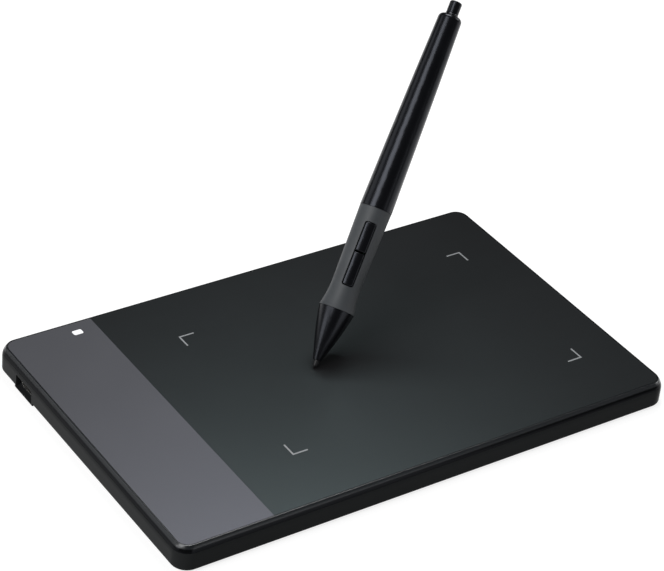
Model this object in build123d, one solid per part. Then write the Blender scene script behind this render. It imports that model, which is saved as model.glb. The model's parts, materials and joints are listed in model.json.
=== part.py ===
from build123d import *
from math import cos, radians, sin, sqrt
import os

# A small graphics tablet with its pen standing on it.
# Millimetres. The origin is under the tablet's middle, on the table: +X to the right, +Y to the back, +Z up.

os.makedirs("parts", exist_ok=True)

# Tablet, overall
tablet_width = 175.0
tablet_depth = 111.0
body_height = 8.5              # from the underside to the drawing surface
corner_radius = 5.2
side_round = 5.1               # the side curves inwards towards the top on this radius
side_round_rise = 3.45         # how far below the surface the curve starts
foot_standout = 0.5            # how far the feet stand out of the underside

# Tablet, covers
wall = 1.6
floor_thickness = 1.2
plate_thickness = 1.4
rim_band = 2.15                # height of the top cover's side, from the open line up
seam_gap = 0.1                 # the open line between the covers
lip_thickness = 0.7
lip_height = 1.1
lip_clearance = 0.15
rim_radius = 0.4
underside_radius = 1.2
rib_thickness = 1.0
rib_row_pitch = 27.5
rib_column_pitch = 28.0

# Tablet, drawing sheet and side strip
rim_width = 1.6
sheet_thickness = 0.8
sheet_gap = 0.2                # the fine groove round the sheet and the strip
panel_gap = 0.06               # between the sheet and the strip
strip_width = 29.7

# Tablet, indicator
window_inset_x = 24.5          # of its middle, from the left face
window_inset_y = 6.6           # of its middle, from the back face
window_width = 3.2
window_depth = 2.2
window_clearance = 0.1
window_flange = 0.7
window_flange_thickness = 0.5
stem_inset = 0.4
lamp_width = 1.6
lamp_depth = 0.8
lamp_height = 0.75
lamp_gap = 0.3

# Tablet, sensor board
board_thickness = 1.0
board_inset = 3.5              # from the outer outline
boss_relief = 0.5
active_width = 106.7
active_depth = 65.7
active_inset = 17.1            # from the right face
shield_margin = 5.0
shield_thickness = 0.3
foam_thickness = 0.5
foam_width = 5.0
post_radius = 1.6              # of the posts under the board's left part
post_spread = 30.0
post_edge_inset = 3.0          # of the outer posts, from the board's edge
post_strip_inset = 4.0         # of the inner posts, from the strip's right edge
chip_inset = 14.0              # of the chips, from the board's edge
chip_pitch = 10.0
controller_side = 7.0
controller_height = 1.0
switch_chip_width = 4.4
switch_chip_depth = 5.0
switch_chip_height = 1.1
crystal_width = 2.5
crystal_depth = 3.2
crystal_height = 0.8

# Tablet, screws and feet
screw_inset_x = 15.0
screw_inset_y = 13.0
screw_radius = 1.0
screw_bite = 3.0               # how far the screws go into the top cover's bosses
head_radius = 1.9
head_height = 1.2
thread_clearance = 0.05
hole_clearance = 0.25
boss_wall = 1.2
foot_radius = 5.0
foot_recess = 0.6
foot_clearance = 0.1

# Tablet, socket
socket_inset = 18.15           # of its middle, from the back face
socket_width = 7.5
socket_height = 2.6
socket_length = 5.6
socket_metal = 0.25
socket_bevel = 0.8
socket_rise = 0.05             # above the floor
socket_setback = 1.5           # of its mouth, from the left face
tongue_width = 4.2
tongue_thickness = 0.6
tongue_setback = 0.6
tongue_root = 1.6
contact_count = 5
contact_pitch = 0.65
contact_width = 0.35
contact_height = 0.1
contact_setback = 0.3          # from the tongue's end
port_width = 9.8               # of the opening in the wall before the socket
port_low = 0.35                # of its lower edge, above the underside
port_high = 4.9
port_corner = 0.5
sill_width = 11.2              # of the square sill under the opening
sill_height = 1.5

# Pen, outside: radii, and lengths along its axis
pen_length = 121.1
nib_radius = 0.8
nib_tip_radius = 0.7
nib_showing = 2.3
nib_shaft_start = 1.5
cone_mouth_radius = 1.3
cone_knee = 8.75               # where the nose cone's slope changes, from the tip
cone_knee_radius = 3.3
cone_swell = 0.12
nose_end = 18.8                # where the grip starts, from the tip
nose_radius = 5.65
waist_offset = 9.2             # from the nose cone's end
waist_radius = 4.62
grip_length = 33.15
grip_end_radius = 5.06
barrel_radius = 5.12
barrel_swell = 0.35             # how far the barrel's taper lags behind an even one
barrel_cones = 3
shoulder_radius = 3.74
stub_length = 4.6
stub_radius = 1.95
shoulder_round = 1.5
neck_round = 0.9
stub_round = 0.6
at_plane = 0.09                # an edge is at a plane if its middle is this near
barrel_wall = 0.9
parting_gap = 0.1

# Pen, core and what it holds
core_bore = 3.1
core_wall = 0.8
sleeve_clearance = 0.02        # between the grip and the core
collar_length = 3.4
collar_wall = 0.85
spigot_wall = 1.05
spigot_length = 8.0
spigot_clearance = 0.05
nose_spigot_length = 2.4
nose_spigot_wall = 0.75
ferrite_length = 10.5
ferrite_radius = 2.0
ferrite_bore = 1.0
ferrite_gap = 1.0              # to the pressure sensor
winding_thickness = 0.65
winding_margin = 1.0
cavity_clearance = 0.1
nib_clearance = 0.05
nib_grip = 2.4                 # how far the nib goes into its holder
holder_wall = 0.65
holder_length = 3.0
holder_clearance = 0.08
holder_seat = 0.3              # from the pressure sensor's front to the holder
sensor_gap = 0.3
sensor_clearance = 0.15
sensor_floor = 0.55
pad_thickness = 0.25
nib_travel = 0.7
stop_clearance = 0.1
board_gap = 0.3
pen_board_length = 22.0
pen_board_thickness = 0.8
pen_board_drop = 0.1           # of its upper face, from the axis
capacitor_count = 3
capacitor_pitch = 2.0
capacitor_width = 1.8
capacitor_length = 1.0
capacitor_height = 0.8

# Pen, buttons
recess_offset = 7.65           # from the nose cone's end
recess_length = 20.85
recess_clearance = 0.25         # on each side of the buttons
recess_corner = 0.8
button_width = 3.3
split_offset = 11.0            # from the recess's front end
split_gap = 0.35
end_clearance = 0.15
side_clearance = 0.1
button_proud = 0.12
button_edge_round = 0.45
flange_overhang = 0.45
flange_thickness = 0.45
switch_side = 2.8
switch_height = 1.0
switch_floor = 0.1
stem_radius = 0.65
stem_clearance = 0.05
stem_rise = 0.5                # of the stem's foot, above the board

# Pen, how it stands on the sheet
pen_inset = 24.8               # of the tip, to the left of the active area's middle
pen_setback = 0.2              # of the tip, behind the active area's middle
pen_elevation = 48.84          # degrees, of its axis above the sheet
pen_heading = 29.5             # degrees, of its axis seen from above, from +X towards +Y
pen_roll = 22.8                # degrees, of the buttons round the axis from the pen's upper side
nib_gap = 0.15                 # between the nib and the sheet

# Tablet, what follows
left = -tablet_width / 2
right = tablet_width / 2
back = tablet_depth / 2
strip_edge = left + rim_width + sheet_gap + strip_width
window_x = left + window_inset_x
window_y = back - window_inset_y
active_x = right - active_inset - active_width / 2
underside = foot_standout
surface = underside + body_height
floor_top = underside + floor_thickness
plate_top = surface - sheet_thickness
plate_bottom = plate_top - plate_thickness
seam = surface - rim_band
lip_low = seam - lip_height
board_low = floor_top + socket_rise + socket_height
board_top = board_low + board_thickness
shield_low = board_low - shield_thickness
foam_low = shield_low - foam_thickness
foot_top = underside + foot_recess
head_seat = foot_top + head_height + thread_clearance
screw_top = board_low + screw_bite
boss_radius = head_radius + hole_clearance + boss_wall
top_boss_radius = screw_radius + thread_clearance + boss_wall
socket_y = back - socket_inset
socket_middle = board_low - socket_height / 2
socket_mouth = left + socket_setback
contact_low = socket_middle - tongue_thickness / 2 - contact_height
rib_rows = [-rib_row_pitch, 0, rib_row_pitch]
rib_column_count = int((right - strip_edge) / rib_column_pitch)
rib_columns = [strip_edge + rib_column_pitch * i for i in range(rib_column_count)]
screw_x = right - screw_inset_x
screw_y = back - screw_inset_y
screw_places = [Pos(x, y) for y in (-screw_y, screw_y) for x in (-screw_x, screw_x)]
outer_posts_x = left + board_inset + post_edge_inset
inner_posts_x = strip_edge - post_strip_inset
post_places = [Pos(outer_posts_x, -post_spread), Pos(outer_posts_x, 0),
               Pos(inner_posts_x, -post_spread), Pos(inner_posts_x, post_spread)]
chip_x = left + board_inset + chip_inset

# Pen, what follows: distances from the tip along the axis, and radii
spigot_end = nose_end + nose_spigot_length
grip_end = nose_end + grip_length
shoulder = pen_length - stub_length
core_radius = core_bore + core_wall
spigot_radius = core_bore + spigot_wall
winding_radius = ferrite_radius + winding_thickness
cavity_radius = winding_radius + cavity_clearance
nose_spigot_radius = cavity_radius + nose_spigot_wall
collar_radius = nose_spigot_radius + spigot_clearance + collar_wall
sensor_start = spigot_end + sensor_gap
sensor_radius = core_bore - sensor_clearance
coil_start = sensor_start - ferrite_gap - ferrite_length
holder_start = sensor_start + holder_seat
holder_radius = nib_radius + nib_clearance + holder_wall
nib_length = holder_start + nib_grip
pad_face = holder_start + holder_length + nib_travel + stop_clearance
sensor_end = pad_face + pad_thickness + sensor_floor
pen_board_start = sensor_end + board_gap
pen_board_low = -pen_board_drop - pen_board_thickness
pen_board_half = sqrt((core_bore - cavity_clearance) ** 2 - pen_board_low ** 2)
recess_start = nose_end + recess_offset
recess_width = button_width + 2 * recess_clearance
button_ends = {
    "lower": (recess_start + end_clearance, recess_start + split_offset - split_gap / 2),
    "upper": (recess_start + split_offset + split_gap / 2, recess_start + recess_length - end_clearance),
}
flange_half = button_width / 2 + flange_overhang
flange_top = sqrt((core_bore - 2 * side_clearance) ** 2 - flange_half ** 2)
flange_low = flange_top - flange_thickness


# Helpers

def slab(inset, low, high):
    """A plate of the tablet's outline, drawn in by inset, between two heights."""
    outline = RectangleRounded(tablet_width - 2 * inset, tablet_depth - 2 * inset, corner_radius - inset)
    return extrude(Pos(0, 0, low) * outline, high - low)


def ring(outer_inset, inner_inset, low, high):
    """A frame of the tablet's outline between two insets."""
    return slab(outer_inset, low, high) - slab(inner_inset, low, high)


def body_form(low, high):
    """The tablet's outer form between two heights: upright sides that curve in towards the top."""
    form = slab(0, underside, surface + side_round - side_round_rise)
    form = fillet(form.faces().sort_by(Axis.Z)[-1].edges(), side_round)
    form = fillet(form.faces().sort_by(Axis.Z)[0].edges(), underside_radius)
    return form & block((2 * left, 2 * right), (-2 * back, 2 * back), (low, high))


def block(x, y, z):
    """A box between two values along each axis."""
    middle = Pos((x[0] + x[1]) / 2, (y[0] + y[1]) / 2, (z[0] + z[1]) / 2)
    return middle * Box(x[1] - x[0], y[1] - y[0], z[1] - z[0])


def about(middle, size):
    """The two ends of a length about its middle."""
    return middle - size / 2, middle + size / 2


def rod(radius, low, high):
    """A round rod on the Z axis between two heights."""
    return Pos(0, 0, low) * Cylinder(radius, high - low, align=(Align.CENTER, Align.CENTER, Align.MIN))


def at_screws(radius, low, high):
    """A rod at each case screw."""
    return [place * rod(radius, low, high) for place in screw_places]


def turned(edges):
    """A solid of revolution from edges drawn as (radius, distance along the axis)."""
    return revolve(Plane.XZ * make_face(edges), Axis.Z)


def save(name, shape):
    solids = shape.solids()
    piece = solids[0] if len(solids) == 1 else Compound(children=solids)
    piece.label = name
    export_step(piece, f"parts/{name}.step")


# Tablet, the covers

def rib_lattice(low, high):
    """Crossing ribs to the right of the strip, under the plate or on the floor."""
    ribs = [block(about(x, rib_thickness), (wall - back, back - wall), (low, high)) for x in rib_columns]
    ribs += [block((strip_edge, right - wall), about(y, rib_thickness), (low, high)) for y in rib_rows]
    return ribs


def port_sill():
    """A square edge under the socket's opening, where the rounded underside would leave too little."""
    return block((left, left + wall), about(socket_y, sill_width), (underside, underside + sill_height))


def port_hole():
    """The opening in the left wall that the socket looks out of."""
    outline = RectangleRounded(port_width, port_high - port_low, port_corner)
    outline = Pos(socket_y, underside + (port_low + port_high) / 2) * outline
    return extrude(Plane.YZ.offset(left) * outline, wall)


def bottom_cover():
    """A tray with a step for the top cover, ribs, posts for the board and a boss at each screw."""
    tray = body_form(underside, seam) + port_sill()
    tray -= slab(wall, floor_top, seam)
    tray -= ring(wall - lip_thickness - lip_clearance, wall, lip_low, seam)
    tray += rib_lattice(floor_top, foam_low)
    tray += [place * rod(post_radius, floor_top, board_low) for place in post_places]
    tray += at_screws(boss_radius, floor_top, board_low)
    tray -= at_screws(foot_radius + foot_clearance, underside, foot_top)
    tray -= at_screws(head_radius + hole_clearance, foot_top, head_seat)
    tray -= at_screws(screw_radius + hole_clearance, head_seat, board_low)
    return tray - port_hole()


def window_prism(grow, low, high):
    """The indicator window's outline, grown all round, between two heights."""
    outline = Rectangle(window_width + 2 * grow, window_depth + 2 * grow)
    return extrude(Pos(window_x, window_y, low) * outline, high - low)


def top_cover():
    """A plate with a rounded rim, let in for the sheet, with a lip into the tray and ribs over the board."""
    cover = body_form(seam + seam_gap, surface)
    cover = fillet(cover.faces().sort_by(Axis.Z)[-1].edges(), rim_radius)
    cover -= slab(rim_width, plate_top, surface)
    cover += slab(wall - lip_thickness, plate_bottom, seam + seam_gap)
    cover += ring(wall - lip_thickness, wall, lip_low, plate_bottom)
    cover += rib_lattice(board_top, plate_bottom)
    cover += at_screws(top_boss_radius, board_low, plate_bottom)
    cover -= at_screws(screw_radius + thread_clearance, board_low, screw_top + hole_clearance)
    return cover - window_prism(window_clearance, plate_bottom, plate_top)


# Tablet, the surface

def surface_panel(x_ends):
    """The part of the let-in surface between two places along X."""
    panel = slab(rim_width + sheet_gap, plate_top, surface)
    return panel & block(x_ends, (-back, back), (plate_top, surface))


def drawing_sheet():
    return surface_panel((strip_edge + panel_gap / 2, right))


def side_strip():
    strip = surface_panel((left, strip_edge - panel_gap / 2))
    return strip - window_prism(window_clearance, plate_top, surface)


def indicator_window():
    """A light pipe: the window above, a flange under the plate and a stem down to the lamp."""
    pipe = window_prism(0, plate_bottom, surface)
    pipe += window_prism(window_flange, plate_bottom - window_flange_thickness, plate_bottom)
    return pipe + window_prism(-stem_inset, board_top + lamp_height + lamp_gap, plate_bottom)


# Tablet, the electronics

def sensor_board():
    board = slab(board_inset, board_low, board_top)
    return board - at_screws(boss_radius + boss_relief, board_low, board_top)


def shield_plate():
    width = active_width + 2 * shield_margin
    depth = active_depth + 2 * shield_margin
    plate = block(about(active_x, width), about(0, depth), (shield_low, board_low))
    return plate - at_screws(boss_radius + boss_relief, shield_low, board_low)


def foam_strips():
    """Foam along the floor's long ribs, pressing the shield plate up."""
    return Compound([
        block(about(active_x, active_width), about(y, foam_width), (foam_low, shield_low)) for y in rib_rows
    ])


def chip(x, y, width, depth, height):
    """A package under the board."""
    return block(about(x, width), about(y, depth), (board_low - height, board_low))


def controller_chip():
    return chip(chip_x, 0, controller_side, controller_side, controller_height)


def switch_chips():
    """Two chips on each side of the controller."""
    return Compound([
        chip(chip_x, chip_pitch * step, switch_chip_width, switch_chip_depth, switch_chip_height)
        for step in (-2, -1, 1, 2)
    ])


def crystal():
    return chip(chip_x - controller_side, 0, crystal_width, crystal_depth, crystal_height)


def socket_prism(grow, start, end):
    """The socket's outline, wide above with bevelled lower corners, between two distances from its mouth."""
    half_width = socket_width / 2 + grow
    half_height = socket_height / 2 + grow
    bevel = socket_bevel + grow / 2
    outline = Polygon(
        (-half_width, half_height), (-half_width, bevel - half_height), (bevel - half_width, -half_height),
        (half_width - bevel, -half_height), (half_width, bevel - half_height), (half_width, half_height),
        align=None,
    )
    outline = Pos(socket_y, socket_middle) * outline
    return extrude(Plane.YZ.offset(socket_mouth + start) * outline, end - start)


def socket_shell():
    return socket_prism(0, 0, socket_length) - socket_prism(-socket_metal, 0, socket_length)


def socket_tongue():
    root = socket_length - tongue_root
    tongue = block((socket_mouth + tongue_setback, socket_mouth + root), about(socket_y, tongue_width),
                   about(socket_middle, tongue_thickness))
    return tongue + socket_prism(-socket_metal, root, socket_length)


def socket_contacts():
    """Strips along the underside of the tongue."""
    first = socket_y - contact_pitch * (contact_count - 1) / 2
    along = (socket_mouth + tongue_setback + contact_setback, socket_mouth + socket_length - tongue_root)
    thickness = (contact_low, contact_low + contact_height)
    return Compound([
        block(along, about(first + contact_pitch * i, contact_width), thickness) for i in range(contact_count)
    ])


def status_lamp():
    height = (board_top, board_top + lamp_height)
    return block(about(window_x, lamp_width), about(window_y, lamp_depth), height)


# Tablet, fasteners and feet

def case_screw():
    return rod(head_radius, head_seat - head_height, head_seat) + rod(screw_radius, head_seat, screw_top)


def foot():
    pad = rod(foot_radius, 0, foot_top)
    return chamfer(pad.faces().sort_by(Axis.Z)[0].edges(), foot_standout / 2)


# Pen, the outside: upright on the Z axis with its tip at the origin and its buttons towards +Y

def nib():
    """A rod with a round tip and a short taper."""
    tip_side = nib_tip_radius * sin(radians(45))
    tip_rise = nib_tip_radius * (1 - cos(radians(45)))
    return turned([
        ThreePointArc((0, 0), (tip_side, tip_rise), (nib_tip_radius, nib_tip_radius)),
        Polyline((nib_tip_radius, nib_tip_radius), (nib_radius, nib_shaft_start), (nib_radius, nib_length),
                 (0, nib_length), (0, 0)),
    ])


def nose_cone():
    """A cone of two slopes, the rear one swelling a little, with a spigot for the core."""
    swell = ((cone_knee_radius + nose_radius) / 2 + cone_swell, (cone_knee + nose_end) / 2)
    cone = turned([
        Polyline((0, nib_showing), (cone_mouth_radius, nib_showing), (cone_knee_radius, cone_knee)),
        ThreePointArc((cone_knee_radius, cone_knee), swell, (nose_radius, nose_end)),
        Polyline((nose_radius, nose_end), (nose_spigot_radius, nose_end), (nose_spigot_radius, spigot_end),
                 (0, spigot_end), (0, nib_showing)),
    ])
    cone -= rod(cavity_radius, coil_start - cavity_clearance, spigot_end)
    return cone - rod(nib_radius + nib_clearance, nib_showing, coil_start)


def grip_body(grow):
    """The grip's outer form, grown outwards: an arc from the nose to the waist, then a widening cone."""
    front = (nose_radius + grow, nose_end + parting_gap)
    waist = (waist_radius + grow, nose_end + waist_offset)
    rear = (grip_end_radius + grow, grip_end)
    return turned([
        TangentArc(waist, front, tangent=(waist[0] - rear[0], waist[1] - rear[1])),
        Polyline(waist, rear, (0, rear[1]), (0, front[1]), front),
    ])


def slot_prism(start, length, width, corner):
    """A slot with round corners through the pen's button side."""
    outline = Pos(0, start + length / 2) * RectangleRounded(width, length, corner)
    return extrude(Plane.XZ * outline, -2 * nose_radius)


def button_slot(clearance):
    """The two buttons' common outline with a clearance all round."""
    spare = end_clearance - clearance
    return slot_prism(recess_start + spare, recess_length - 2 * spare, button_width + 2 * clearance,
                      recess_corner - spare)


def grip_sleeve():
    """The soft sleeve over the core, with the long recess that the buttons lie in."""
    sleeve = grip_body(0) - rod(core_radius + sleeve_clearance, nose_end, grip_end)
    sleeve -= rod(collar_radius + sleeve_clearance, nose_end, nose_end + collar_length)
    return sleeve - slot_prism(recess_start, recess_length, recess_width, recess_corner)


def pen_core():
    """The tube that carries the pen: a collar for the nose cone, a slot for the buttons, a rear spigot."""
    front = nose_end + parting_gap
    core_end = grip_end + spigot_length
    core = rod(core_radius, front, grip_end) + rod(collar_radius, front, nose_end + collar_length)
    core += rod(spigot_radius, grip_end, core_end)
    core -= rod(core_bore, front, core_end)
    core -= rod(nose_spigot_radius + spigot_clearance, front, spigot_end + parting_gap)
    return core - button_slot(side_clearance)


def barrel_taper():
    """The barrel up to its shoulder: cones that steepen towards the rear, as one long swelling taper."""
    start = grip_end + parting_gap
    profile = []
    for step in range(barrel_cones + 1):
        part = step / barrel_cones
        drop = part - barrel_swell * part * (1 - part)
        radius = barrel_radius - (barrel_radius - shoulder_radius) * drop
        profile.append((radius, start + (shoulder - start) * part))
    return turned([Polyline(*profile, (0, shoulder), (0, start), profile[0])])


def barrel_hollow():
    """The bore for the core's spigot, then a tapering hollow up to the shoulder."""
    spigot_stop = grip_end + spigot_length + 2 * parting_gap
    end = shoulder - shoulder_round
    bore = spigot_radius + spigot_clearance
    return turned([Polyline((0, grip_end), (bore, grip_end), (bore, spigot_stop),
                            (barrel_radius - barrel_wall, spigot_stop), (shoulder_radius - barrel_wall, end),
                            (0, end), (0, grip_end))])


def barrel():
    """The gloss rear tube: a taper, a round shoulder and a narrow stub, hollow up to the shoulder."""
    tube = barrel_taper() + rod(stub_radius, shoulder, pen_length)
    rings = tube.edges().filter_by(GeomType.CIRCLE)
    tube = fillet(rings.sort_by(Axis.Z)[-1], stub_round)
    at_shoulder = [edge for edge in tube.edges().filter_by(GeomType.CIRCLE)
                   if abs(edge.center().Z - shoulder) < at_plane]
    at_shoulder.sort(key=lambda edge: edge.radius)
    tube = fillet(at_shoulder[-1], shoulder_round)
    neck = [edge for edge in tube.edges().filter_by(GeomType.CIRCLE)
            if abs(edge.center().Z - shoulder) < at_plane and edge.radius < stub_radius + at_plane]
    return fillet(neck, neck_round) - barrel_hollow()


# Pen, the buttons and their switches

def button(which):
    """A cap that follows the grip's form, on a flange that the core holds in."""
    low, high = button_ends[which]
    cap = block(about(0, button_width), (flange_low, nose_radius), (low, high))
    cap = cap & grip_body(button_proud) & button_slot(0)
    crown = [edge for edge in cap.edges() if edge.center().Y > waist_radius - button_edge_round]
    cap = fillet(crown, button_edge_round)
    low -= end_clearance if which == "lower" else 0
    high += end_clearance if which == "upper" else 0
    return cap + block(about(0, 2 * flange_half), (flange_low, flange_top), (low, high))


def across(radius, low, high, along):
    """A round rod towards the buttons, between two distances from the axis."""
    return extrude(Plane.XZ.offset(-low) * Pos(0, along) * Circle(radius), low - high)


def push_switch(which):
    """A square switch on the board, with a well that its stem moves in."""
    along = sum(button_ends[which]) / 2
    low = -pen_board_drop
    body = block(about(0, switch_side), (low, low + switch_height), about(along, switch_side))
    return body - across(stem_radius + stem_clearance, low + switch_floor, low + switch_height, along)


def switch_stem(which):
    return across(stem_radius, stem_rise - pen_board_drop, flange_low, sum(button_ends[which]) / 2)


# Pen, the inside

def nib_holder():
    return (rod(holder_radius, holder_start, holder_start + holder_length)
            - rod(nib_radius + nib_clearance, holder_start, nib_length))


def pressure_sensor():
    """A cup that guides the nib holder and reads how far it is pushed in."""
    return (rod(sensor_radius, sensor_start, sensor_end)
            - rod(holder_radius + holder_clearance, sensor_start, pad_face + pad_thickness))


def sensor_pad():
    return rod(holder_radius - holder_clearance, pad_face, pad_face + pad_thickness)


def ferrite_sleeve():
    end = coil_start + ferrite_length
    return rod(ferrite_radius, coil_start, end) - rod(ferrite_bore, coil_start, end)


def coil_winding():
    start = coil_start + winding_margin
    end = coil_start + ferrite_length - winding_margin
    return rod(winding_radius, start, end) - rod(ferrite_radius, start, end)


def pen_board():
    return block(about(0, 2 * pen_board_half), (pen_board_low, -pen_board_drop),
                 (pen_board_start, pen_board_start + pen_board_length))


def tuning_capacitors():
    """Small capacitors in a row under the board's rear end."""
    last = pen_board_start + pen_board_length - capacitor_pitch
    heights = (pen_board_low - capacitor_height, pen_board_low)
    return Compound([
        block(about(0, capacitor_width), heights, about(last - capacitor_pitch * step, capacitor_length))
        for step in range(capacitor_count)
    ])


# Pen, how it stands

def pen_place():
    """From the upright pen to the pen on the sheet."""
    elevation, heading, roll = (radians(angle) for angle in (pen_elevation, pen_heading, pen_roll))
    along = Vector(cos(elevation) * cos(heading), cos(elevation) * sin(heading), sin(elevation))
    upper = Vector(-sin(elevation) * cos(heading), -sin(elevation) * sin(heading), cos(elevation))
    to_buttons = upper * cos(roll) + along.cross(upper) * sin(roll)
    tip_height = surface + nib_gap + nib_tip_radius * (1 - sin(elevation))
    tip = Vector(active_x - pen_inset, pen_setback, tip_height)
    return Plane(origin=tip, x_dir=to_buttons.cross(along), z_dir=along).location


tablet_pieces = {
    "bottom_cover": bottom_cover(),
    "top_cover": top_cover(),
    "drawing_sheet": drawing_sheet(),
    "side_strip": side_strip(),
    "indicator_window": indicator_window(),
    "sensor_board": sensor_board(),
    "shield_plate": shield_plate(),
    "foam_strips": foam_strips(),
    "controller_chip": controller_chip(),
    "switch_chips": switch_chips(),
    "crystal": crystal(),
    "socket_shell": socket_shell(),
    "socket_tongue": socket_tongue(),
    "socket_contacts": socket_contacts(),
    "status_lamp": status_lamp(),
    "case_screws": Compound([place * case_screw() for place in screw_places]),
}
corner_names = ["front_left", "front_right", "back_left", "back_right"]
for corner_name, place in zip(corner_names, screw_places):
    tablet_pieces[f"{corner_name}_foot"] = place * foot()

pen_pieces = {
    "nib": nib(),
    "nib_holder": nib_holder(),
    "nose_cone": nose_cone(),
    "grip_sleeve": grip_sleeve(),
    "pen_core": pen_core(),
    "barrel": barrel(),
    "ferrite_sleeve": ferrite_sleeve(),
    "coil_winding": coil_winding(),
    "pressure_sensor": pressure_sensor(),
    "sensor_pad": sensor_pad(),
    "pen_board": pen_board(),
    "tuning_capacitors": tuning_capacitors(),
}
for which in button_ends:
    pen_pieces[f"{which}_button"] = button(which)
    pen_pieces[f"{which}_switch"] = push_switch(which)
    pen_pieces[f"{which}_switch_stem"] = switch_stem(which)

for name, piece in tablet_pieces.items():
    save(name, piece)
for name, piece in pen_pieces.items():
    save(name, pen_place() * piece)
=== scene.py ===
import json
from math import cos, pi, radians, sin

import bmesh
import bpy
from mathutils import Matrix, Vector

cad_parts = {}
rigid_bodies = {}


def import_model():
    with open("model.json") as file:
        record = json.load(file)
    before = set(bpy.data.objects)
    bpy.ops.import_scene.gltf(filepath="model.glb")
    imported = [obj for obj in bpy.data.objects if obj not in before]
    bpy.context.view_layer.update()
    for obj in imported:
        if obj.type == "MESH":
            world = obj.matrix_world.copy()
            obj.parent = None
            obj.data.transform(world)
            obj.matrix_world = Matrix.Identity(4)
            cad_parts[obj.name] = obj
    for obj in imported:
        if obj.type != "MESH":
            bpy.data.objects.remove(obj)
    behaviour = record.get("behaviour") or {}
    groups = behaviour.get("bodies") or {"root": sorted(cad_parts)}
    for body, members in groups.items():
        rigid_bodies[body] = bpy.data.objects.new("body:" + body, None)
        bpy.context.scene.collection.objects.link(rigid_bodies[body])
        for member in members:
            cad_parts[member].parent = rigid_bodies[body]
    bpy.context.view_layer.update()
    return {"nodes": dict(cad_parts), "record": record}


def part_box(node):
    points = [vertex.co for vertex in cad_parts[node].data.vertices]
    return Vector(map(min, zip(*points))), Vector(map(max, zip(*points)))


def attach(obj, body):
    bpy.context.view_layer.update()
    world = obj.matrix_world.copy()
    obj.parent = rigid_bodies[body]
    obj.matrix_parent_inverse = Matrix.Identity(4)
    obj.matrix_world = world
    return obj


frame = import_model()

mm = 0.001

# where the camera stands, worked out from the photograph's edges and marks, with angles in degrees
view_azimuth = -36.491
view_elevation = 34.038
view_roll = 5.753
view_distance = 812.2 * mm
view_target = Vector((29.29, 45.37, 0.5)) * mm
view_lens = 134.89
view_sensor = 36.0

# the printed corners that show the active area
marked_width = 107.1 * mm
marked_depth = 65.9 * mm
marked_middle = Vector((16.98, -0.07, 0)) * mm
mark_arm = 5.3 * mm
mark_stroke = 0.52 * mm
print_height = 0.03 * mm

# the part of the indicator's window that the light fills, and the grey that masks its corners
lit_width = 3.12 * mm
lit_depth = 2.18 * mm
lit_corner = 0.58 * mm
lit_edge = 0.12 * mm
mask_grey = (0.061, 0.062, 0.067)

# the rim has a clear coat above the crest's height, and a lighter, bluer colour there that is a
# painted highlight along the rim; both begin softly
crest_height = 7.9 * mm
crest_edge = 0.35 * mm
painted_crest_highlight = (0.0050, 0.0068, 0.0090)

# the bottom cover is polished above this height
polish_height = 1.2 * mm

# how far apart the board's copper loops and the winding's turns show
loop_pitch = 2.4 * mm
turn_pitch = 0.8 * mm

# corners that lie this near are joined, and faces that meet at less than this angle are shaded as one
merge_distance = 0.001 * mm
sharp_angle = radians(24)

# the floor, the distance over which it turns white, and how far away the lamps stand, in metres
floor_size = 40.0
floor_reach = 2.0
near_lamp = 0.46
far_lamp = 1.6

bpy.ops.object.select_all(action="DESELECT")
for default_object in [o for o in bpy.data.objects if o.name in ("Cube", "Light", "Camera")]:
    bpy.data.objects.remove(default_object)


# Nodes written as sums

class Value:
    """A node's output, on which sums can be written."""

    def __init__(self, nodes, socket):
        self.nodes = nodes
        self.socket = socket

    def __add__(self, other):
        return self.nodes.maths("ADD", self, other)

    def __radd__(self, other):
        return self.nodes.maths("ADD", other, self)

    def __sub__(self, other):
        return self.nodes.maths("SUBTRACT", self, other)

    def __rsub__(self, other):
        return self.nodes.maths("SUBTRACT", other, self)

    def __mul__(self, other):
        return self.nodes.maths("MULTIPLY", self, other)

    def __rmul__(self, other):
        return self.nodes.maths("MULTIPLY", other, self)

    def __truediv__(self, other):
        return self.nodes.maths("DIVIDE", self, other)

    def __pow__(self, other):
        return self.nodes.maths("POWER", self, other)


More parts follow.
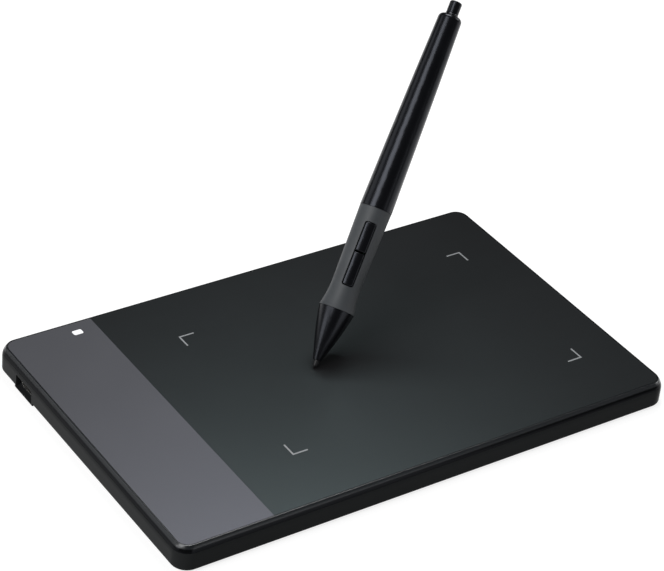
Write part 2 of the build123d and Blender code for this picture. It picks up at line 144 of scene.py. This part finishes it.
class Nodes:
    """The nodes of one finish, of the room or of the soft shading."""

    def __init__(self, tree):
        self.tree = tree
        self.tree.nodes.clear()

    def node(self, kind, settings=None, inputs=None, output=0):
        """Adds a node: first its settings, then a number or a link for each socket named."""
        made = self.tree.nodes.new(kind)
        for name, value in (settings or {}).items():
            if name == "stops":
                self.set_stops(made.color_ramp, value)
            else:
                setattr(made, name, value)
        for name, value in (inputs or {}).items():
            if isinstance(value, Value):
                self.tree.links.new(value.socket, made.inputs[name])
            else:
                made.inputs[name].default_value = value
        return Value(self, made.outputs[output]) if made.outputs else None

    def set_stops(self, ramp, stops):
        while len(ramp.elements) < len(stops):
            ramp.elements.new(1.0)
        for element, (place, level) in zip(ramp.elements, stops):
            element.position = place
            element.color = (level, level, level, 1.0)

    def maths(self, operation, *values):
        """The result of an operation on one value or on two."""
        return self.node("ShaderNodeMath", {"operation": operation}, dict(enumerate(values)))

    def place(self):
        return self.node("ShaderNodeTexCoord", output="Object")

    def along(self, axis_name):
        return self.node("ShaderNodeSeparateXYZ", inputs={0: self.place()}, output=axis_name)

    def noise(self, size, detail=2.0, roughness=0.5, stretch=(1, 1, 1)):
        """A cloudy pattern, its blotches about size metres wide, between 0 and 1."""
        vector = self.node("ShaderNodeMapping", inputs={"Vector": self.place(), "Scale": stretch})
        inputs = {"Vector": vector, "Scale": 1 / size, "Detail": detail, "Roughness": roughness}
        return self.node("ShaderNodeTexNoise", inputs=inputs)

    def cells(self, size):
        """The distance to the nearest of many points, about size metres apart."""
        inputs = {"Vector": self.place(), "Scale": 1 / size}
        return self.node("ShaderNodeTexVoronoi", inputs=inputs, output="Distance")

    def outside(self, middle, width, depth, corner):
        """How far a place lies outside an upright bar with rounded corners, in metres."""
        past = []
        for axis_name, centre, size in (("X", middle.x, width), ("Y", middle.y, depth)):
            off = self.maths("ABSOLUTE", self.along(axis_name) - centre)
            past.append(self.maths("MAXIMUM", off - (size / 2 - corner), 0.0))
        return (past[0] * past[0] + past[1] * past[1]) ** 0.5 - corner

    def ramp(self, value, stops):
        return self.node("ShaderNodeValToRGB", {"stops": stops}, {0: value})

    def between(self, factor, first, second):
        """A colour from first to second, which are the node's sockets 6 and 7."""
        inputs = {0: factor, 6: colour(first), 7: colour(second)}
        return self.node("ShaderNodeMix", {"data_type": "RGBA"}, inputs, output=2)

    def bump(self, height, depth):
        """Raises the surface by depth metres where height is 1."""
        inputs = {"Height": height, "Distance": depth, "Strength": 1.0}
        return self.node("ShaderNodeBump", inputs=inputs)

    def surface(self, **inputs):
        """The finish's shader, its sockets named with underscores for spaces."""
        sockets = {}
        for name, value in inputs.items():
            sockets[name.replace("_", " ").title().replace("Ior", "IOR")] = value
        self.end(self.node("ShaderNodeBsdfPrincipled", inputs=sockets))

    def end(self, shader, kind="Material"):
        self.node("ShaderNodeOutput" + kind, inputs={"Surface": shader})


def colour(value):
    """A colour for a node, which wants a fourth number."""
    if isinstance(value, Value):
        return value
    return (*value, 1.0)


# Finishes

def new_finish(name):
    material = bpy.data.materials.new(name)
    material.use_nodes = True
    return material, Nodes(material.node_tree)


def gloss_black(name, tone, rough, ior, crest=None):
    """Polished black plastic with a breath of wiping marks and a few specks of dust.

    Above the height crest it has a clear coat, which shines more, and a lighter colour that is a
    painted highlight along the rim.
    """
    material, n = new_finish(name)
    wiped = n.noise(9 * mm, 3.0, 0.6)
    hazy = n.noise(1.4 * mm)
    specks = n.ramp(n.cells(1.9 * mm), [(0.0, 1.0), (0.035, 0.6), (0.06, 0.0)])
    chosen = n.ramp(n.noise(5 * mm, 1.0), [(0.0, 0.0), (0.60, 0.0), (0.70, 1.0)])
    dust = specks * chosen
    clean = n.between(wiped, [0.75 * level for level in tone], [1.25 * level for level in tone])
    shown = n.between(dust * 0.5, clean, (0.16, 0.16, 0.155))
    coat = {}
    if crest:
        # above the crest: a clear coat, and a lighter colour that is a painted highlight
        coat_and_painted_highlight = n.ramp((n.along("Z") - crest) / crest_edge, [(0.0, 0.0), (1.0, 1.0)])
        shown = n.between(coat_and_painted_highlight, shown, painted_crest_highlight)
        coat = {"coat_weight": coat_and_painted_highlight, "coat_roughness": 0.34, "coat_ior": 1.55}
    n.surface(base_color=shown, roughness=rough + 0.05 * wiped + 0.03 * hazy + 0.35 * dust,
              ior=ior, specular_tint=(0.82, 0.87, 1.0, 1.0),
              normal=n.bump(n.noise(14 * mm, 1.0), 0.008 * mm), **coat)
    return material


def satin_wall():
    """The bottom cover: black, fine-eroded on its floor and polished up its wall."""
    material, n = new_finish("satin black base")
    wall = n.ramp(n.along("Z") / polish_height, [(0.0, 0.0), (0.45, 0.0), (1.0, 1.0)])
    grain = n.noise(0.16 * mm, 2.0, 0.6)
    cloud = n.noise(18 * mm)
    eroded = n.between(cloud, (0.012, 0.012, 0.013), (0.018, 0.018, 0.0195))
    polished = n.between(cloud, (0.0175, 0.0185, 0.0190), (0.0205, 0.0216, 0.0223))
    rough = (1 - wall) * (0.42 + 0.14 * grain) + wall * (0.12 + 0.05 * cloud)
    n.surface(base_color=n.between(wall, eroded, polished), roughness=rough, ior=1.085,
              specular_tint=(0.86, 0.97, 1.0, 1.0),
              normal=n.bump(grain * (1 - wall), 0.012 * mm))
    return material


def drawing_surface():
    """The sheet that the nib runs on: matt black, its grain just rough enough to feel like paper."""
    material, n = new_finish("matt drawing sheet")
    grain = n.noise(0.11 * mm, 2.0, 0.65)
    pores = n.cells(0.23 * mm)
    cloud = n.noise(30 * mm, 3.0, 0.55)
    strokes = n.noise(3.2 * mm, 3.0, 0.7, stretch=(0.12, 1.0, 1.0))
    clouded = n.between(cloud, (0.0088, 0.0080, 0.0086), (0.0110, 0.0100, 0.0107))
    grained = n.between(grain, (0.0086, 0.0078, 0.0084), clouded)
    rough = 0.31 + 0.04 * grain + 0.03 * cloud - 0.02 * strokes
    n.surface(base_color=grained, roughness=rough, ior=1.45, specular_tint=(0.70, 0.96, 1.0, 1.0),
              normal=n.bump(grain * 0.7 + pores * 0.3, 0.006 * mm))
    return material


def grey_strip():
    """The side strip: mid-grey, matt, with a fine even grain."""
    material, n = new_finish("matt grey strip")
    grain = n.noise(0.14 * mm, 2.0, 0.6)
    cloud = n.noise(22 * mm)
    tone = n.between(cloud, (0.058, 0.059, 0.064), (0.064, 0.065, 0.070))
    n.surface(base_color=tone, roughness=0.34 + 0.05 * grain + 0.03 * cloud, ior=1.55,
              specular_tint=(0.77, 0.81, 1.0, 1.0), normal=n.bump(grain, 0.006 * mm))
    return material


def milky_window():
    """The indicator's window, lit from below and masked round its edge."""
    material, n = new_finish("milky window")
    low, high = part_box("indicator_window")
    past_light = n.outside((low + high) / 2, lit_width, lit_depth, lit_corner)
    lit = n.ramp(past_light / lit_edge, [(0.0, 1.0), (1.0, 0.0)])
    cloud = n.noise(1.1 * mm)
    milky = n.between(cloud, (0.82, 0.83, 0.85), (0.90, 0.90, 0.92))
    n.surface(base_color=n.between(lit, mask_grey, milky), roughness=0.22 + 0.08 * cloud, ior=1.49,
              emission_color=n.between(lit, (0.0, 0.0, 0.0), milky), emission_strength=0.2)
    return material


def grip_rubber():
    """The pen's grip: soft black rubber with a dry sheen and a fine moulded grain."""
    material, n = new_finish("satin grip rubber")
    grain = n.noise(0.09 * mm, 2.0, 0.6)
    handled = n.noise(6 * mm, 3.0, 0.6)
    tone = n.between(handled, (0.034, 0.038, 0.042), (0.042, 0.047, 0.052))
    n.surface(base_color=tone, roughness=0.52 + 0.10 * grain - 0.08 * handled, ior=1.45,
              normal=n.bump(grain, 0.006 * mm))
    return material


def moulded(name, dark, light, rough, grain, depth=0.01 * mm, ior=1.45, metal=0.0):
    """A plain moulded, pressed or cast finish, with a grain of its own size and depth."""
    material, n = new_finish(name)
    fine = n.noise(grain, 3.0, 0.6)
    cloud = n.noise(24 * grain)
    tone = n.between(fine * 0.5 + cloud * 0.5, dark, light)
    n.surface(base_color=tone, roughness=rough + 0.12 * (cloud - 0.5) + 0.06 * (fine - 0.5),
              ior=ior, metallic=metal, normal=n.bump(fine, depth))
    return material


def solder_mask():
    """A circuit board's green mask over its loops of copper."""
    material, n = new_finish("green solder mask")
    loops_x = n.maths("SINE", n.along("X") * (2 * pi / loop_pitch))
    loops_y = n.maths("SINE", n.along("Y") * (2 * pi / loop_pitch))
    copper = n.ramp(n.maths("MAXIMUM", loops_x, loops_y), [(0.0, 0.0), (0.86, 0.0), (0.93, 1.0)])
    weave = n.noise(0.5 * mm)
    bare = n.between(weave, (0.010, 0.075, 0.030), (0.014, 0.100, 0.040))
    n.surface(base_color=n.between(copper, bare, (0.035, 0.170, 0.060)),
              roughness=0.28 + 0.12 * weave, ior=1.5, normal=n.bump(copper, 0.03 * mm))
    return material


def wound_wire():
    """Fine enamelled wire, its turns side by side."""
    material, n = new_finish("enamelled winding")
    inputs = {"Vector": n.place(), "Scale": 1 / turn_pitch, "Distortion": 0.6, "Detail": 1.0}
    turns = n.node("ShaderNodeTexWave", {"wave_type": "BANDS", "bands_direction": "Z"}, inputs)
    tone = n.between(turns, (0.16, 0.045, 0.016), (0.46, 0.17, 0.07))
    n.surface(base_color=tone, roughness=0.30 + 0.12 * turns, metallic=0.85,
              normal=n.bump(turns, 0.04 * mm))
    return material


def printed_ink():
    """Pale grey ink, a little thin in places."""
    material, n = new_finish("pale grey print")
    thin = n.noise(0.25 * mm)
    tone = n.between(thin, (0.20, 0.21, 0.22), (0.29, 0.30, 0.31))
    n.surface(base_color=tone, roughness=0.34 + 0.08 * thin, ior=1.6)
    return material


finishes = {
    "cover": gloss_black("polished black cover", (0.0040, 0.0043, 0.0048), rough=0.10, ior=1.16,
                         crest=crest_height),
    "base": satin_wall(),
    "sheet": drawing_surface(),
    "strip": grey_strip(),
    "window": milky_window(),
    "board": solder_mask(),
    "chip": moulded("chip package", (0.012, 0.012, 0.013), (0.028, 0.028, 0.030),
                    rough=0.55, grain=0.10 * mm),
    "capacitor": moulded("ceramic capacitor", (0.22, 0.15, 0.09), (0.34, 0.25, 0.16),
                         rough=0.42, grain=0.12 * mm),
    "steel": moulded("drawn steel", (0.50, 0.50, 0.49), (0.66, 0.65, 0.63),
                     rough=0.32, grain=0.20 * mm, metal=1.0),
    "foam": moulded("grey foam", (0.10, 0.10, 0.11), (0.22, 0.22, 0.23),
                    rough=0.88, grain=0.30 * mm, depth=0.08 * mm),
    "tongue": moulded("socket tongue", (0.010, 0.010, 0.011), (0.020, 0.020, 0.021),
                      rough=0.40, grain=0.10 * mm),
    "contact": moulded("gold-plated contact", (0.70, 0.48, 0.20), (0.86, 0.64, 0.30),
                       rough=0.24, grain=0.10 * mm, metal=1.0),
    "lamp": moulded("indicator lamp", (0.66, 0.67, 0.60), (0.82, 0.82, 0.74),
                    rough=0.25, grain=0.20 * mm),
    "foot": moulded("rubber foot", (0.016, 0.016, 0.016), (0.036, 0.036, 0.036),
                    rough=0.72, grain=0.14 * mm, depth=0.02 * mm),
    "nib": moulded("nib", (0.008, 0.008, 0.009), (0.014, 0.014, 0.015),
                   rough=0.36, grain=0.08 * mm, ior=1.3),
    "pen_gloss": gloss_black("polished black pen", (0.0036, 0.0038, 0.0046), rough=0.20, ior=1.33),
    "grip": grip_rubber(),
    "core": moulded("black pen core", (0.014, 0.014, 0.015), (0.026, 0.026, 0.028),
                    rough=0.46, grain=0.12 * mm),
    "ferrite": moulded("ferrite", (0.030, 0.030, 0.033), (0.055, 0.055, 0.058),
                       rough=0.50, grain=0.15 * mm, depth=0.02 * mm),
    "winding": wound_wire(),
    "pad": moulded("soft pad", (0.20, 0.21, 0.22), (0.30, 0.31, 0.32),
                   rough=0.66, grain=0.10 * mm),
    "switch": moulded("switch body", (0.48, 0.47, 0.44), (0.60, 0.59, 0.55),
                      rough=0.46, grain=0.15 * mm),
}
for subpart in frame["record"]["subparts"]:
    node = frame["nodes"][subpart["node"]]
    node.data.materials.clear()
    node.data.materials.append(finishes[subpart["material_slot"]])


# Soft shading of the CAD's faces

def rounded_shading():
    """Geometry nodes that join a mesh's loose triangles and shade it smooth up to its real edges."""
    group = bpy.data.node_groups.new("rounded shading", "GeometryNodeTree")
    for way in ("INPUT", "OUTPUT"):
        group.interface.new_socket("Geometry", in_out=way, socket_type="NodeSocketGeometry")
    n = Nodes(group)
    mesh = n.node("NodeGroupInput")
    joined = n.node("GeometryNodeMergeByDistance",
                    inputs={"Geometry": mesh, "Distance": merge_distance})
    faces = n.node("GeometryNodeSetShadeSmooth", {"domain": "FACE"},
                   {"Geometry": joined, "Shade Smooth": True})
    turn = n.node("GeometryNodeInputMeshEdgeAngle")
    gentle = n.node("FunctionNodeCompare", {"operation": "LESS_THAN"}, {0: turn, 1: sharp_angle})
    edges = n.node("GeometryNodeSetShadeSmooth", {"domain": "EDGE"},
                   {"Geometry": faces, "Shade Smooth": gentle})
    n.node("NodeGroupOutput", inputs={"Geometry": edges})
    return group


def shade_rounded(node, group):
    """Shades a CAD node smooth, with its flat faces kept flat."""
    node.modifiers.new("rounded shading", "NODES").node_group = group
    weighted = node.modifiers.new("flat faces flat", "WEIGHTED_NORMAL")
    weighted.mode = "FACE_AREA"
    weighted.keep_sharp = True


shading = rounded_shading()
for node in frame["nodes"].values():
    shade_rounded(node, shading)


# Printed marks

def active_piece(name, material, body):
    """Names the object in hand, gives it its finish, and lets it move with a body."""
    piece = bpy.context.object
    piece.name = name
    piece.data.name = name
    piece.data.materials.clear()
    piece.data.materials.append(material)
    bpy.ops.object.transform_apply(location=True, rotation=True, scale=True)
    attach(piece, body)
    piece.select_set(False)
    return piece


def select_faces(wanted):
    """In edit mode, selects only the faces whose middle and normal satisfy wanted."""
    mesh = bmesh.from_edit_mesh(bpy.context.object.data)
    chosen = [face for face in mesh.faces if wanted(face.calc_center_median(), face.normal)]
    for face in mesh.faces:
        face.select_set(False)
    for face in chosen:
        face.select_set(True)
    bmesh.update_edit_mesh(bpy.context.object.data)


def corner_mark(name, corner, toward_x, toward_y, ink):
    """One printed corner: two thin arms that meet at the corner of the active area."""
    middle = corner + Vector((toward_x, toward_y, 0)) * mark_stroke / 2
    bpy.ops.mesh.primitive_cube_add(size=1, location=middle + Vector((0, 0, print_height / 2)),
                                    scale=(mark_stroke, mark_stroke, print_height))
    bpy.ops.object.mode_set(mode="EDIT")
    bpy.ops.mesh.select_mode(type="FACE")
    for axis, across, toward in ((0, 1, toward_x), (1, 0, toward_y)):
        select_faces(lambda centre, normal: normal[axis] * toward > 0.9
                     and abs(centre[across]) < mark_stroke)
        step = Vector((0, 0, 0))
        step[axis] = toward * (mark_arm - mark_stroke)
        bpy.ops.mesh.extrude_region_move(TRANSFORM_OT_translate={"value": step})
    bpy.ops.object.mode_set(mode="OBJECT")
    piece = active_piece(name, ink, "tablet")


sheet_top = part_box("drawing_sheet")[1].z
ink = printed_ink()
for side, toward_x in (("left", 1), ("right", -1)):
    for end, toward_y in (("front", 1), ("back", -1)):
        corner = marked_middle - Vector((toward_x * marked_width / 2, toward_y * marked_depth / 2, 0))
        corner.z = sheet_top
        corner_mark(f"{end}_{side}_mark", corner, toward_x, toward_y, ink)


# Floor and room

def floor_finish():
    """Pale ground that looks white, and still takes the object's soft shadow."""
    material, n = new_finish("pale floor")
    tone = n.between(n.noise(400 * mm), (0.29, 0.29, 0.29), (0.31, 0.31, 0.31))
    paper = n.node("ShaderNodeBsdfDiffuse", inputs={"Color": tone})
    camera_ray, glossy_ray, clear_ray = [n.node("ShaderNodeLightPath", output=f"Is {kind} Ray")
                                         for kind in ("Camera", "Glossy", "Transmission")]
    seen = camera_ray + glossy_ray + clear_ray
    away = n.node("ShaderNodeVectorMath", {"operation": "LENGTH"}, {0: n.place()}, output="Value")
    far = n.ramp(away / floor_reach, [(0.0, 0.0), (0.15, 0.0), (0.6, 1.0)])
    glow = n.node("ShaderNodeEmission",
                  inputs={"Color": (1, 1, 1, 1), "Strength": seen * (0.80 + 0.20 * far)})
    n.end(n.node("ShaderNodeAddShader", inputs={0: paper, 1: glow}))
    return material


bpy.ops.mesh.primitive_plane_add(size=floor_size, location=(0, 0, 0))
floor = bpy.context.object
floor.name = "floor"
floor.data.materials.append(floor_finish())
floor.select_set(False)

world = bpy.data.worlds.new("dim room")
bpy.context.scene.world = world
world.use_nodes = True
room = Nodes(world.node_tree)
dim = room.node("ShaderNodeBackground", inputs={"Color": (1.0, 1.0, 1.0, 1.0), "Strength": 0.04})
room.end(dim, "World")


# Camera and lamps

def direction(azimuth, elevation):
    """A direction at that many degrees from +X towards +Y, and above the table."""
    azimuth, elevation = radians(azimuth), radians(elevation)
    return Vector((cos(azimuth) * cos(elevation), sin(azimuth) * cos(elevation), sin(elevation)))


def set_up(thing, place, right, up, back):
    """Stands a camera or a lamp at place, turned to its three directions."""
    bpy.context.scene.collection.objects.link(thing)
    thing.matrix_world = Matrix.Translation(place) @ Matrix((right, up, back)).transposed().to_4x4()


def softbox(name, place, width, height, radiance):
    """A rectangular lamp that looks at the origin, as bright as a white of that many times 1."""
    lamp = bpy.data.lights.new(name, "AREA")
    lamp.shape = "RECTANGLE"
    lamp.size = width
    lamp.size_y = height
    lamp.energy = radiance * pi * width * height
    back = place.normalized()
    right = Vector((0, 0, 1)).cross(back).normalized()
    set_up(bpy.data.objects.new(name, lamp), place, right, back.cross(right), back)


view_back = direction(view_azimuth - 90, view_elevation)
level_right = direction(view_azimuth, 0)
level_up = view_back.cross(level_right)
roll = radians(view_roll)
view_right = cos(roll) * level_right + sin(roll) * level_up
view_up = -sin(roll) * level_right + cos(roll) * level_up

camera = bpy.data.objects.new("camera", bpy.data.cameras.new("camera"))
camera.data.lens = view_lens
camera.data.sensor_width = view_sensor
camera.data.clip_start = 0.05
camera.data.clip_end = 50.0
set_up(camera, view_target + view_distance * view_back, view_right, view_up, view_back)
bpy.context.scene.camera = camera

softbox("back box", near_lamp * direction(52, 66), width=0.2, height=0.2, radiance=9.6)
softbox("left box", far_lamp * direction(193, 43), width=0.85, height=1.0, radiance=6.6)
softbox("low left box", far_lamp * direction(176, 13), width=0.8, height=0.46, radiance=3.7)
softbox("far left box", far_lamp * direction(137, 24), width=0.9, height=0.7, radiance=1.2)
softbox("front box", far_lamp * direction(-76, 8), width=0.95, height=0.42, radiance=1.75)
softbox("right box", far_lamp * direction(-12, 24), width=0.9, height=0.7, radiance=3.5)

bpy.context.scene.view_settings.view_transform = "Standard"
